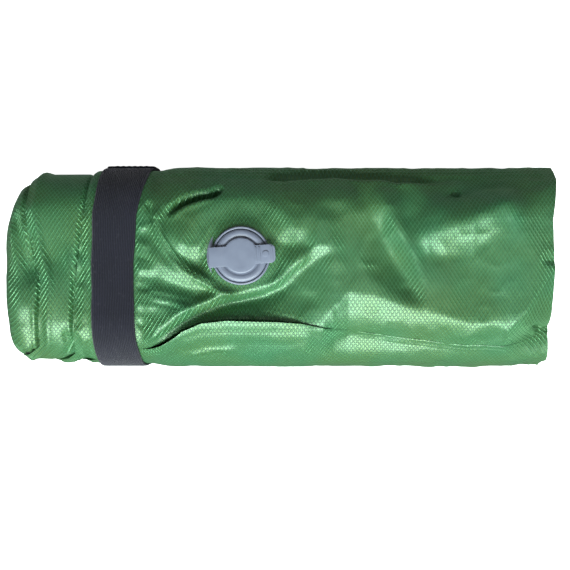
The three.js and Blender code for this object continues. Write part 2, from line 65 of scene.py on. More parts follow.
add_light("key_light", (0, -2.6, 2.45), (0, 0, 0.05), (3.6, 1.9), 350, (0.90, 1.0, 0.97))
add_light("top_fill", (0.6, 0.6, 4.0), (0, 0, 0.05), (2.0, 2.0), 12, (1.0, 1.0, 0.97))

world = bpy.data.worlds.new("studio_air")
world.use_nodes = True
world.node_tree.nodes["Background"].inputs["Color"].default_value = (0.95, 0.96, 1.0, 1)
world.node_tree.nodes["Background"].inputs["Strength"].default_value = 0.12
scene.world = world

CAMERA_HEIGHT = 0.652
SENSOR_WIDTH = 36.0
VIEW_ANGLE = math.radians(32.8)
camera = bpy.data.objects.new("camera", bpy.data.cameras.new("camera"))
camera.data.sensor_width = SENSOR_WIDTH
camera.data.lens = SENSOR_WIDTH / 2 / math.tan(VIEW_ANGLE / 2)
camera.data.clip_start = 0.01
camera.location = (0.0035, -0.011, CAMERA_HEIGHT)
scene.collection.objects.link(camera)
scene.camera = camera

floor_mesh = bpy.data.meshes.new("floor")
FLOOR_REACH = 4.0
FLOOR_GLOW = 0.95
floor_mesh.from_pydata(
    [(x * FLOOR_REACH, y * FLOOR_REACH, -0.0002) for x, y in ((-1, -1), (1, -1), (1, 1), (-1, 1))],
    [],
    [(0, 1, 2, 3)],
)
floor = bpy.data.objects.new("floor", floor_mesh)
scene.collection.objects.link(floor)
floor_paper = bpy.data.materials.new("pale_paper")
floor_paper.use_nodes = True
paper_surface = floor_paper.node_tree.nodes["Principled BSDF"].inputs
paper_surface["Base Color"].default_value = (0.95, 0.95, 0.95, 1)
paper_surface["Roughness"].default_value = 0.9
paper_surface["Emission Color"].default_value = (1.0, 1.0, 1.0, 1)
paper_surface["Emission Strength"].default_value = FLOOR_GLOW
floor_mesh.materials.append(floor_paper)
floor.visible_glossy = False

# ---- Outer cover ------------------------------------------------------------------------------------
# The sheet that faces outwards: thin woven polyester with a shiny coating, woven in small diamonds. Its
# edge is welded to the other sheet in a flat hem, and it has a round hole for the valve. The pad is
# rolled up from its inner edge, and the free edge of its outer turn lies on top, along the -Y side.

# A point of the pad is given by q, the way walked round the roll in millimetres from the middle of the
# top towards -Y, and by x along the roll.
MM = 0.001
cover_low, cover_high = (corner / MM for corner in map(np.array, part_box("outer_cover")))
HALF_WIDTH = (cover_high[1] - cover_low[1]) / 2
HALF_HEIGHT = (cover_high[2] - cover_low[2]) / 2
CORNER_RADIUS = 34.0
FLAT_Y = HALF_WIDTH - CORNER_RADIUS
FLAT_Z = HALF_HEIGHT - CORNER_RADIUS
CORNER_LENGTH = CORNER_RADIUS * math.pi / 2
LOOP = 4 * (FLAT_Y + FLAT_Z + CORNER_LENGTH)
FREE_EDGE_Q = FLAT_Y + CORNER_LENGTH / 2
TURNS = 3.03
INNER_EDGE_Q = FREE_EDGE_Q + TURNS * LOOP
HEM_SHARE = 0.02
FOAM_SHARE = 0.27
HEM_RAMP = 34.0
FREE_EDGE_RAMP = 70.0


def section(q):
    """Place (y, z about the roll's axis) and outward normal (y, z) at q on the full outline."""
    q = np.mod(q, LOOP)
    sides = [FLAT_Y, CORNER_LENGTH, 2 * FLAT_Z, CORNER_LENGTH]
    walked = [0, *np.cumsum([*sides, 2 * FLAT_Y, *sides[1:]]), LOOP]
    angle = math.pi / 2 * (1 + np.interp(q, walked, [0, 0, 1, 1, 2, 2, 3, 3, 4, 4]))
    centre_y = np.interp(q, walked, FLAT_Y * np.array([0, -1, -1, -1, -1, 1, 1, 1, 1, 0]))
    centre_z = np.interp(q, walked, FLAT_Z * np.array([1, 1, 1, -1, -1, -1, -1, 1, 1, 1]))
    normal_y, normal_z = np.cos(angle), np.sin(angle)
    return centre_y + CORNER_RADIUS * normal_y, centre_z + CORNER_RADIUS * normal_z, normal_y, normal_z


def smooth(value, start, end):
    s = np.clip((value - start) / (end - start), 0, 1)
    return s * s * (3 - 2 * s)


def swell(distance, length):
    return np.sin(math.pi / 2 * np.clip(distance / length, 0, 1))


def free_edge(x):
    """Where the free edge lies on top: it bows up in the middle of the pillow and dips to its corners."""
    return np.interp(
        x,
        [-112, -90, -76, -66, -56, -45, -30, 0, 14, 30, 44, 70, 103, 155],
        [66, 56, 50.5, 44, 37, 32.6, 31.2, 32, 33.4, 37.8, 43, 48, 51.5, 53],
    )


def turn_of(q):
    return (q - FREE_EDGE_Q) / LOOP


def left_hem(q):
    """Each turn sticks out further than the one over it, with a slack of its own as it goes round."""
    return np.interp(
        turn_of(q),
        [0, 0.5, 0.66, 0.75, 0.83, 0.88, 0.97, 1.02, 1.07, 1.13, 1.5, 1.66, 1.76, 1.83, 1.875, 1.92,
         2.0, 2.05, 2.12, 2.3, 2.62, 2.8, 3.03],
        [-119.5, -117, -111.5, -113.5, -116.8, -119.3, -120.3, -122, -137, -140.5, -143, -149, -149, -145,
         -139, -140.2, -142, -156, -160, -164, -161, -166, -166],
    )


def right_hem(q):
    return np.interp(
        turn_of(q),
        [0, 0.08, 0.2, 0.6, 0.7, 0.78, 0.85, 0.93, 1.0, 1.3, 2.0, 3.03],
        [161.5, 163.5, 165, 166, 164.5, 159.5, 160.5, 161.5, 162, 149, 137, 121],
    )


def thickness(q, x):
    """Share of the outline that the pad's foam takes up, thin at the welded edges."""
    hems = swell(x - left_hem(q), HEM_RAMP) * swell(right_hem(q) - x, HEM_RAMP)
    ends = swell(q - free_edge(x), FREE_EDGE_RAMP) * swell((INNER_EDGE_Q - q) * 0.4, HEM_RAMP)
    return HEM_SHARE + (FOAM_SHARE - HEM_SHARE) * np.clip(hems, 0, 1) * np.clip(ends, 0, 1)


LEFT_END_START, LEFT_END_LENGTH = -131.0, 36.0


def envelope(q, x):
    """The left end rounds off, sooner on the +Y side."""
    past = np.clip((LEFT_END_START - x) / LEFT_END_LENGTH, 0, 1)
    lean = smooth(section(q)[0] / HALF_WIDTH, -0.6, 0.95)
    return 1 - (0.80 - 0.22 * lean) * past ** (8 - 4.5 * lean)


def outside_share(q, x):
    """How far out the pad's outer face lies, as a share of the outline, under the turns over it."""
    share = envelope(q, x)
    for above in (1, 2, 3):
        over = q - above * LOOP
        covered = smooth(over - free_edge(x), 0, 2.4)
        covered = covered * smooth(x - left_hem(over), -1.2, 1.2) * smooth(right_hem(over) - x, -1.2, 1.2)
        share = share - covered * thickness(over, x)
    return np.maximum(share, 0.08)


# The band squeezes the roll in, from the left end to just right of it. It runs a little askew.
band_low, band_high = (corner / MM for corner in map(np.array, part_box("elastic_band")))
BAND_MIDDLE = (band_low[0] + band_high[0]) / 2
WAIST = 2.0


def band_edges(q):
    """x of the band's left and right edge, on its way round."""
    turn = np.mod(q, LOOP) / LOOP
    places = [0, 0.12, 0.25, 0.5, 0.66, 0.75, 0.84, 0.92, 1]
    middle = np.interp(turn, places, [0, 0.6, 3.6, 5, 7, 7, 4.6, 1.2, 0])
    places = [0, 0.12, 0.25, 0.5, 0.75, 0.84, 0.92, 1]
    half = np.interp(turn, places, [12.4, 12.6, 13.6, 12.6, 15, 14.4, 12.8, 12.4])
    return BAND_MIDDLE + middle - half, BAND_MIDDLE + middle + half


def waist(q, x):
    right = band_edges(q)[1]
    return WAIST * (1 - smooth(x, right + 1, right + 16))


# The broad shape of the top, as ridges and furrows seen from above: x, y and height in millimetres. The
# cloth runs in flat facets from each line to the next.
TOP_LINES = [
    # The far side, where the cloth falls away, and the welded edge on the near side.
    [(-84, 58, -1), (-40, 58, -2), (-4, 58, -3), (30, 58, -3), (70, 58, -3), (110, 58, -3), (172, 58, -1)],
    [(-84, -52, 0), (-76, -49, 0), (-66, -42, -1), (-56, -35, -1.2), (-45, -30.6, -0.6), (-30, -29.4, 0.2),
     (0, -30, 0.4), (14, -31.6, 0.3), (30, -36, 0), (44, -41, 0), (70, -46, 0), (103, -50, 0), (172, -52, 0)],
    # The fold that runs from beside the band, under the valve and up to its right: crest, then foot.
    [(-76, -43.5, 0.8), (-72, -39.4, 2), (-64, -33, 3.4), (-52, -26, 4.0), (-39, -20, 4.0), (-29, -17, 3.8),
     (-19, -14.4, 3.5), (-12, -12.4, 3.3), (-3, -10, 3.2), (2, -6, 3.2), (7, 0, 3.2), (14, 5, 2.8),
     (20, 8.5, 2.4), (27, 10.4, 2.2)],
    [(-71, -44, -0.8), (-62, -37, -2.8), (-51, -29.6, -3.8), (-38, -24, -4.2), (-28, -21, -4.2),
     (-18, -18.8, -4.0), (-9, -17, -3.6), (1, -13.6, -3.2), (8, -7.6, -2.8), (14, -1.4, -2.0),
     (21, 3.6, -1.0), (29, 5, 0.4)],
    # Cloth left of the valve: a bulge under the slit, and two lit slopes beside the band.
    [(-34, 47, -1.6), (-46, 42, -1.8), (-56, 38, -1.6), (-66, 29, -1.0)],
    [(-63, 17, 2.0), (-56, 12.6, 3.6), (-49, 10.4, 4.0), (-44, 12, 3.4), (-40.5, 18, 1.6)],
    [(-67, 14, 0.2), (-61, 5.5, -0.6), (-55, 1.0, -0.8), (-47, 0.2, -0.4), (-43, 3, 0.2), (-41, 8, 0.4)],
    [(-80, 5, 1.4), (-72, 5, 2.0), (-65, 1.5, 2.2), (-57, -4, 1.8), (-48, -9.4, 1.4), (-38, -13.5, 1.2)],
    [(-80, -6, -0.6), (-70, -8, -1.4), (-60, -11.4, -2.2), (-50, -14.4, -2.4), (-42, -16.6, -1.2)],
    [(-80, -15, 1.0), (-70, -16.4, 1.4), (-60, -19.8, 1.2), (-52, -22.6, 1.6)],
    [(-80, -27, -0.8), (-72, -28.6, -0.4), (-66, -29.6, 0.6)],
    [(-80, 30, 0.5), (-74, 24, 0.4), (-70, 31, 0.6)],
    # Round the valve the cloth is held flat.
    [(-43, 6, 0.2), (-39, 18, 0), (-32, 25, 0), (-22, 27.5, 0), (-10, 24, 0), (-2.5, 14, 0.2), (-1, 6, 0.2),
     (-3, -3, 0.3), (-9, -9, 0.8), (-22, -13, 1.6), (-33, -11.6, 0.6), (-40, -5, 0.2), (-43, 6, 0.2)],
    # Folds at the upper right of the valve, and the long soft ridge right of them.
    [(-3, 15, 1.2), (4.8, 23, 2.4), (12.9, 27, 2.4), (17.5, 21.2, 2.6), (21.6, 12.5, 2.8), (27, 10.4, 2.2)],
    [(2, 10, 0.2), (9, 12.5, 0), (14, 12, 0.2), (17, 8, 0.8)],
    [(20, 44, -1.4), (22, 36, 0.8), (27, 25, 2.6), (31, 12, 3.0), (32, 2, 2.4), (31, -10, 1.2),
     (27, -26, 0.4)],
    [(16, -12, -1.4), (20, -22, -0.8), (25.5, -30, -0.4)],
    [(38, 30, 0), (40, 14, 0.4), (41, -2, 0.6), (40, -14, 1.0)],
    # The broken line where the top turns down to the slope of the near side.
    [(25.5, -30, -0.4), (33, -21.5, 0.6), (41, -15, 1.0), (58, -18, 0.8), (70, -21, 0.4), (81, -24, -0.3),
     (89, -26, 0.2), (101, -31, 0.3), (111, -34.4, -0.4), (121, -33, 0.5), (128, -35.6, 0.2),
     (133.5, -37.4, -0.4), (138, -34, 0.3), (145, -25, 0.8), (151, -16, 0.8), (158, -4, 0.4), (168, 9, -0.4)],
    # The valley and ridge that cross the right half, and the second valley behind them.
    [(33, 50, -0.6), (40.8, 38, 1.0), (44.3, 14.8, 1.6), (50, -2.6, 1.6), (61.7, -15.4, 1.0)],
    [(45, 50, -2.2), (50.7, 35.2, -3.0), (58.8, 17.8, -4.8), (68, 2, -5.4), (76.2, -11.3, -4.0),
     (80.9, -22.9, -0.8)],
    [(56, 50, -0.6), (63, 36, 1.0), (70.4, 21.8, 1.8), (78, 9, 1.8), (83.2, -5.5, 1.2), (85, -19, 0.4)],
    [(69, 50, -3.4), (74, 38, -3.2), (75.6, 26, -2.2), (77, 16.6, 0)],
    # The ridge that climbs to a peak near the right end, and the plain below it.
    [(79, 15, 1.4), (86.7, 21.2, 3.4), (105.3, 25.3, 4.2), (121, 31.1, 4.8), (131.4, 35.8, 5.0)],
    [(88, 40, -1.4), (100, 44, -3.4), (112, 48, -4.4), (125, 50, -4.0), (140, 48, -2.4), (152, 44, -1.0)],
    [(84, 7, 0.2), (95, 4.5, -0.6), (108, 6, -0.6), (118, 11, 0.4)],
    [(131.4, 35.8, 5.0), (140.1, 23.6, 3.4), (148.9, 7.9, 2.0), (156.4, -1.4, 1.0), (158, -4, 0.4)],
    [(146, 34, 0.2), (155, 20, -0.8), (163, 6, -1.0)],
    [(131.4, 35.8, 5.0), (128, 18, 2.6), (129, 2, 1.8), (131, -16, 1.2), (133.5, -37.4, -0.4)],
    [(97, -10, 0.8), (101, -31, 0.3)],
    [(118, 11, 0.4), (113, -8, -1.0), (111, -34.4, -0.4)],
    # The left and right borders.
    [(-84, 58, -1), (-84, 20, 0), (-84, -20, 0), (-84, -52, 0)],
    [(172, 58, -1), (168, 20, -1), (168, 9, -0.4), (172, -20, -0.4), (172, -52, 0)],
]
FACET_SOFTNESS = 3.0
FACET_GAIN = 1.3


def top_height(x, y):
    """Height of the top's facets, softened where they meet."""
    corners, edges, heights = [], [], {}
    for line in TOP_LINES:
        first = len(corners)
        corners += [Vector(point[:2]) for point in line]
        edges += [(first + i, first + i + 1) for i in range(len(line) - 1)]
        heights.update((first + i, point[2]) for i, point in enumerate(line))
    places, _, triangles, sources, _, _ = geometry.delaunay_2d_cdt(corners, edges, [], 0, 0.01)
    plan = np.array([tuple(place) for place in places])
    known = np.array([bool(source) for source in sources])
    level = np.array([np.mean([heights[i] for i in source]) if source else 0.0 for source in sources])
    for i in np.flatnonzero(~known):
        gap = np.hypot(*(plan[known] - plan[i]).T)
        level[i] = np.average(level[known], weights=1 / gap**4)
    total = np.zeros(x.shape)
    rings = [(0.5, a) for a in np.arange(5) * math.pi / 2.5]
    rings += [(1.0, a) for a in np.arange(7) * math.pi / 3.5]
    offsets = [(0, 0), *((reach * math.cos(a), reach * math.sin(a)) for reach, a in rings)]
    for dx, dy in offsets:
        px, py = x + dx * FACET_SOFTNESS, y + dy * FACET_SOFTNESS
        for a, b, c in triangles:
            (ax, ay), (bx, by), (cx, cy) = plan[a], plan[b], plan[c]
            inside = (px >= min(ax, bx, cx)) & (px < max(ax, bx, cx))
            inside &= (py >= min(ay, by, cy)) & (py < max(ay, by, cy))
            if not inside.any():
                continue
            span = (bx - ax) * (cy - ay) - (cx - ax) * (by - ay)
            if abs(span) < 1e-6:
                continue
            ix, iy = px[inside], py[inside]
            v = ((ix - ax) * (cy - ay) - (cx - ax) * (iy - ay)) / span
            w = ((bx - ax) * (iy - ay) - (ix - ax) * (by - ay)) / span
            u = 1 - v - w
            own = (u >= 0) & (v >= 0) & (w >= 0)
            where = np.flatnonzero(inside.ravel())[own]
            total.ravel()[where] += (u * level[a] + v * level[b] + w * level[c])[own] / len(offsets)
    return total * FACET_GAIN


def catmull(points, steps=8):
    """Points of a smooth line through the given ones."""
    p = np.array([points[0], *points, points[-1]], float)
    out = []
    for a, b, c, d in zip(p, p[1:], p[2:], p[3:]):
        for s in np.linspace(0, 1, steps, endpoint=False):
            bend = 2 * a - 5 * b + 4 * c - d
            out.append(0.5 * (2 * b + (c - a) * s + bend * s**2 + (3 * b - a - 3 * c + d) * s**3))
    return np.array([*out, p[-1]])


def along_line(x, y, line):
    """Distance to a line, which side of it (+1 on the left), and how far along it, from 0 to 1."""
    best = np.full(x.shape, 1e9)
    side = np.ones(x.shape)
    place = np.zeros(x.shape)
    lengths = np.linalg.norm(np.diff(line, axis=0), axis=1)
    starts = np.concatenate([[0], np.cumsum(lengths)])
    for (ax, ay), (bx, by), length, start in zip(line, line[1:], lengths, starts):
        if length < 1e-9:
            continue
        dx, dy = (bx - ax) / length, (by - ay) / length
        t = np.clip((x - ax) * dx + (y - ay) * dy, 0, length)
        gap = np.hypot(x - ax - t * dx, y - ay - t * dy)
        closer = gap < best
        best = np.where(closer, gap, best)
        side = np.where(closer, np.sign(dx * (y - ay) - dy * (x - ax)), side)
        place = np.where(closer, (start + t) / starts[-1], place)
    return best, side, place


def fold(x, y, points, height, left, right, power=2.0, taper=(0.25, 0.25)):
    """A ridge, or a furrow if height is negative, that falls off over left and right of its line."""
    line = catmull(points)
    reach = 3 * max(left, right)
    near = (x > line[:, 0].min() - reach) & (x < line[:, 0].max() + reach)
    near &= (y > line[:, 1].min() - reach) & (y < line[:, 1].max() + reach)
    rise = np.zeros(x.shape)
    if not near.any():
        return rise
    gap, side, place = along_line(x[near], y[near], line)
    width = np.where(side > 0, left, right)
    ends = np.ones(gap.shape)
    if taper[0]:
        ends *= smooth(place, 0, taper[0])
    if taper[1]:
        ends *= smooth(1 - place, 0, taper[1])
    rise[near] = height * ends * np.exp(-((gap / width) ** power))
    return rise


DOUBLE_RIDGE = [
    (-73, 36), (-71.3, 30), (-69.6, 19.5), (-63.8, 8.5), (-58.5, 2.4), (-50.1, -4.3), (-40.7, -9.6),
    (-33.9, -13), (-27.2, -15), (-20, -14.6),
]
# Sharp folds and creases: points, height, width on the left of the line, width on its right, sharpness
# and how the ends fade.
FOLDS = [
    # Slit at the upper left of the valve and the lip that overhangs it.
    ([(-33, 48.5), (-35.5, 45.6), (-40, 42.6), (-46, 41.2), (-54, 38.2), (-61, 33.4), (-66, 28)],
     -7.5, 1.5, 2.4, 2.2, (0.12, 0.3)),
    ([(-36, 42.4), (-45, 37.4), (-54, 34), (-60.6, 29), (-64, 24)], 1.3, 1.6, 6.0, 1.6, (0.3, 0.3)),
    ([(-38, 49), (-46, 46.4), (-56, 43), (-65, 36), (-70, 29)], 0.7, 2.0, 5.0, 1.6, (0.3, 0.3)),
    # Narrow double ridge that runs from the band round to below the valve.
    (DOUBLE_RIDGE, 3.2, 2.6, 2.6, 2.2, (0.1, 0.12)),
    (DOUBLE_RIDGE, -1.9, 0.62, 0.62, 2, (0.06, 0.1)),
    ([(-78, 40), (-75, 33), (-73.5, 24)], -2.4, 1.4, 1.8, 2, (0.25, 0.3)),
    # A groove runs along the crest of the long fold.
    ([(-66, -34.6), (-52, -26.6), (-39, -20.8), (-29, -18), (-19, -15.4), (-9, -12.6), (-1, -9.6)],
     -0.9, 0.75, 0.75, 2, (0.15, 0.2)),
    ([(-79, -45), (-74, -41), (-68, -37.5)], 1.2, 1.6, 1.4, 1.8, (0.3, 0.4)),
    # Fine creases.
    ([(-77, -15.5), (-66, -17.6), (-56, -20), (-45, -24)], -0.8, 0.7, 0.8, 2, (0.2, 0.3)),
    ([(-75, -20.8), (-64, -23), (-54, -25.4)], -0.8, 0.7, 0.8, 2, (0.2, 0.3)),
    ([(-14, -26.4), (-6, -27.4), (4, -29.6), (18, -33.2)], -0.8, 0.6, 0.7, 2, (0.2, 0.3)),
    ([(-10, -29.0), (0, -30.0), (10, -31.6)], -0.5, 0.5, 0.6, 2, (0.2, 0.3)),
    # Dark groove along the far side, the lip before it and a small pit.
    ([(-10, 55.6), (2, 56.4), (16, 57), (34, 57.4), (54, 56), (76, 54.6), (98, 54), (106, 54.6)],
     -5.0, 1.6, 1.8, 2.2, (0.1, 0.4)),
    ([(2, 53), (20, 53.4), (40, 53), (60, 51.6), (84, 50.4), (98, 50)], 1.3, 2.4, 3.0, 1.8, (0.2, 0.2)),
    ([(101, 47), (104, 44.5), (108, 43)], -2.6, 2.0, 2.4, 2, (0.3, 0.35)),
    # Folds of the flap below the free edge.
    ([(-54.5, -53.4), (-44, -50.4), (-33, -49.2), (-24, -49.6)], 1.3, 0.9, 1.4, 1.8, (0.2, 0.3)),
    ([(-54.5, -54.6), (-44, -52.0), (-33, -50.8), (-26, -50.8)], -0.9, 0.8, 0.8, 1.8, (0.2, 0.3)),
    # Small tuck at the right end of the free edge, and a dent in the open end.
    ([(149.5, -36), (154, -41.5), (157, -49)], -2.6, 1.2, 1.2, 2, (0.25, 0.3)),
    ([(147.4, -37.5), (151, -43.5), (153.4, -51)], 1.6, 1.2, 1.6, 1.8, (0.25, 0.3)),
    ([(162, 3), (156, 3.6), (151, 6)], -1.8, 2.6, 3.2, 1.8, (0.05, 0.5)),
    # Pleats that the band squeezes out on its right.
    ([(-84, 14), (-79, 12.5), (-73, 9)], 1.4, 2.6, 2.4, 1.8, (0.08, 0.5)),
    ([(-84, 22), (-79, 23), (-75, 26)], 1.4, 2.4, 2.4, 1.8, (0.08, 0.5)),
    ([(-84, 6), (-78, 4.5), (-70, 2)], -1.2, 2.0, 2.0, 1.8, (0.08, 0.5)),
    ([(-84, -2), (-77, -2.5), (-70, -4)], 1.2, 2.4, 2.4, 1.8, (0.08, 0.5)),
    ([(-84, -12), (-78, -13), (-72, -12.4)], -1.2, 2.2, 2.2, 1.8, (0.08, 0.5)),
    ([(-84, -22), (-77, -23.5), (-69, -24)], 1.2, 2.6, 2.4, 1.8, (0.08, 0.5)),
    ([(-84, -34), (-78, -35), (-73, -34)], -1.4, 2.4, 2.4, 1.8, (0.08, 0.5)),
    ([(-84, 34), (-80, 36), (-77, 41)], 1.4, 2.2, 2.4, 1.8, (0.08, 0.5)),
]

# Pleats of the turns that stick out at the left end, given in the same way.
LEFT_FOLDS = [
    ([(-156, 34), (-154, 26), (-150, 11), (-145.5, -3), (-143.6, -9)], -3.2, 2.6, 3.4, 2, (0.15, 0.1)),
    ([(-160, 30), (-158, 18), (-155, 4), (-150, -8)], 1.8, 2.4, 3.0, 1.8, (0.2, 0.2)),
    ([(-166, -4), (-161, -9), (-155, -13), (-147, -14)], 1.6, 2.2, 2.2, 1.8, (0.1, 0.2)),
    ([(-165, -20), (-158, -27), (-150, -30), (-144, -30)], -2.4, 2.2, 2.6, 2, (0.1, 0.1)),
    ([(-160, -36), (-154, -41), (-147, -41)], 1.8, 1.6, 2.0, 1.8, (0.2, 0.2)),
    ([(-127, -40), (-125, -46), (-123.6, -54)], -3.6, 1.8, 2.2, 2, (0.25, 0.1)),
    ([(-121, -36), (-115, -42), (-111, -46)], 1.6, 2.4, 2.4, 1.8, (0.2, 0.2)),
    ([(-137, 8), (-131, 3), (-123, 2)], -1.6, 4.0, 5.0, 1.8, (0.25, 0.25)),
    ([(-140, -12), (-132, -17), (-124, -17)], 1.2, 4.0, 4.0, 1.8, (0.25, 0.25)),
    ([(-118, 12), (-114, 4), (-111, -6)], -1.6, 2.6, 3.0, 1.8, (0.2, 0.2)),
    ([(-117, -10), (-113, -16), (-110, -24)], 1.4, 2.6, 3.0, 1.8, (0.2, 0.2)),
]

# The slope of the near side starts at this broken line in the right half.
SHOULDER_X = [20, 25.5, 41, 58, 81, 89, 101, 111, 121, 133.5, 145, 158, 172]
SHOULDER_Y = [-24, -30, -15, -18, -24, -26, -31, -34.4, -33, -37.4, -25, -4, 12]
SHOULDER_SLOPE = 0.34


def shoulder_drop(x, y):
    past = np.interp(x, SHOULDER_X, SHOULDER_Y) - y
    bend = np.where(past < 2, np.clip(past + 2, 0, 4) ** 2 / 8, past)
    steeper = 1 + 0.25 * smooth(x, 120, 150)
    return -SHOULDER_SLOPE * smooth(x, 14, 34) * steeper * bend * smooth(66 + y, 0, 22)


LATTICE = np.random.default_rng(11).uniform(-1, 1, (64, 64, 16))


def noise(u, v, w=0.0):
    """Smooth value noise about 0, one lump to each whole number."""
    u, v, w = (np.asarray(a, float) + np.zeros(np.shape(u)) for a in (u, v, w))
    iu, iv, iw = (np.floor(a).astype(int) for a in (u, v, w))
    fu, fv, fw = (a - np.floor(a) for a in (u, v, w))
    fu, fv, fw = (a * a * a * (a * (a * 6 - 15) + 10) for a in (fu, fv, fw))
    total = 0
    for du in (0, 1):
        for dv in (0, 1):
            for dw in (0, 1):
                weight = (fu if du else 1 - fu) * (fv if dv else 1 - fv) * (fw if dw else 1 - fw)
                total = total + weight * LATTICE[(iu + du) % 64, (iv + dv) % 64, (iw + dw) % 16]
    return total


def creases(u, v, w):
    """Crumpled cloth: flat facets that meet in soft ridges, about 0."""
    warp_u = u + 0.5 * noise(u * 0.7, v * 0.7, w + 3)
    warp_v = v + 0.5 * noise(u * 0.7 + 9, v * 0.7, w + 5)
    return 1 - 2.4 * np.abs(noise(warp_u, warp_v, w)) - 0.5


VALVE_X, VALVE_Y = -22.0, 6.0
FLANGE_RADIUS = 20.0
VALVE_HOLE_RADIUS = 16.3
FLAP_LIFT = 4.5


def cloth_height(q, x, y, upper):
    """How far the cover stands out from the roll's plain outline, in millimetres."""
    top = np.zeros(x.shape)
    facing_up = (upper > 0) & (q > LOOP * 0.6) & (q < LOOP * 1.35) & (x > -84)
    top[facing_up] = top_height(x[facing_up], y[facing_up])
    for entry in FOLDS:
        top += fold(x, y, *entry)
    top += shoulder_drop(x, y)
    around = q / 26.0
    lumps = 1.3 * noise(x / 30.0, around, 1.5) + 0.6 * noise(x / 13.0, around * 2.1, 4.5)
    crumple = 1.9 * creases(x / 34.0, around * 0.9, 7.5)
    calm = smooth(x, band_high[0], band_high[0] + 30)
    sides = (lumps + crumple) * calm
    ripple = 0.28 * creases(x / 9.0, q / 9.0, 3.5) + 0.12 * noise(x / 3.4, q / 3.4, 8.5)
    height = sides * (1 - upper) + top * upper + ripple * calm
    from_valve = np.hypot(x - VALVE_X, y - VALVE_Y)
    flat = smooth(from_valve, FLANGE_RADIUS - 2, FLANGE_RADIUS + 5)
    height = height * np.where(upper > 0.5, flat, 1)
    # Beside the hinge the folds lie lower, so that the opened cap clears them.
    height = height - 2.9 * upper * np.exp(-(((x + 48) / 10) ** 2) - ((y - 7) / 9) ** 2)
    # The valve sits on a low mound.
    mound = smooth(from_valve, 17, 24) * (1 - smooth(from_valve, 26, 36))
    height = height - 1.9 * mound * upper
    from_edge = q - free_edge(x)
    flap = np.clip(1 - from_edge / 15.0, 0, 1) * (from_edge > -0.5) * (q < LOOP * 0.7)
    height = height + FLAP_LIFT * flap * (1 - smooth(x, -16, 40)) * smooth(x, -84, -60)
    for place, deep in ((1.4, 0.45), (2.6, -0.4), (4.2, 0.4), (5.4, -0.35)):
        height = height + deep * np.exp(-(((from_edge - place) / 0.6) ** 2))
    return height


def under_band(q, x):
    """1 where the cover may stand out freely, and 0 where the band lies on it."""
    left, right = band_edges(q)
    return smooth(np.abs(x - (left + right) / 2), (right - left) / 2 - 0.5, (right - left) / 2 + 3.5)


def pad_face(q, x, depth, inner=False):
    """Points of the outer or inner face, depth millimetres inside the pad."""
    y, z, normal_y, normal_z = section(q)
    share = outside_share(q, x)
    if inner:
        share = np.maximum(share - thickness(q, x), 0.06)
        depth = -depth - 0.3
    upper = smooth(z, 2, 16)
    height = cloth_height(q, x, share * y, upper) * under_band(q, x)
    left = smooth(-x, 108, 112)
    far = smooth(-x, 138, 146)
    pleats = (0.9 + 1.2 * far) * creases(x / 30.0, q / 19.0, 9.5) + 0.8 * noise(x / 40.0, q / 9.0, 2.5) - 2.2
    scallop = smooth(x, band_edges(q)[0] - 15, band_edges(q)[0] - 1)
    pleats = pleats + scallop * (1.7 * np.abs(noise(x / 60.0, q / 6.5, 12.5)) - 0.2)
    for entry in LEFT_FOLDS:
        pleats = pleats + fold(x, share * y, *entry) * upper
    for above in (1, 2):
        beside = x - left_hem(q - above * LOOP)
        groove = np.exp(-(((beside + 1.0) / 1.1) ** 2)) * (q - above * LOOP > free_edge(x))
        pleats = pleats - 4.5 * groove
    pleats = pleats + 1.6 * np.exp(-(((x - left_hem(q) - 5.5) / 2.4) ** 2))
    height = height * (1 - left) + left * pleats * smooth(-x, 108, 116)
    ceiling = WAIST - 1.9
    height = np.where(x < band_edges(q)[1] + 0.8, np.minimum(height, ceiling), height)
    move = depth + share * waist(q, x) - height * share**2
    points = np.stack([x, share * y - move * normal_y, HALF_HEIGHT + share * z - move * normal_z], axis=-1)
    points[..., 2] = np.maximum(points[..., 2], 0.0)
    return points


def pad_grid(row_turns, column_shares):
    """q and x of the points of a grid that covers the pad, row by row round the roll."""
    turns = np.array(row_turns)[:, None]
    shares = np.array(column_shares)[None, :]
    q = FREE_EDGE_Q + LOOP * turns + 0 * shares
    lean = np.clip(1 - turns / 0.2, 0, 1) ** 2
    for _ in range(3):
        x = left_hem(q) + shares * (right_hem(q) - left_hem(q))
        q = FREE_EDGE_Q + LOOP * turns + (free_edge(x) - FREE_EDGE_Q) * lean
    return q, left_hem(q) + shares * (right_hem(q) - left_hem(q))


def mesh_object(name, points, faces, flat=None):
    """A smooth mesh over points in millimetres, with the flat cloth's own measure as its UV map."""
    mesh = bpy.data.meshes.new(name)
    mesh.from_pydata((points.reshape(-1, 3) * MM).tolist(), [], faces)
    if flat is not None:
        layer = mesh.uv_layers.new(name="cloth")
        corners = np.zeros(len(mesh.loops), int)
        mesh.loops.foreach_get("vertex_index", corners)
        layer.data.foreach_set("uv", flat.reshape(-1, 2)[corners].ravel())
    mesh.polygons.foreach_set("use_smooth", np.ones(len(mesh.polygons), bool))
    thing = bpy.data.objects.new(name, mesh)
    scene.collection.objects.link(thing)
    return thing


def grid_object(name, points, flat=None, keep=None, flip=False):
    """A mesh over a grid of points, row by row."""
    rows, columns = points.shape[:2]
    index = np.arange(rows * columns).reshape(rows, columns)
    quads = np.stack([index[:-1, :-1], index[:-1, 1:], index[1:, 1:], index[1:, :-1]], axis=-1).reshape(-1, 4)
    if flip:
        quads = quads[:, ::-1]
    if keep is not None:
        quads = quads[keep(quads)]
    return mesh_object(name, points, quads.tolist(), flat)


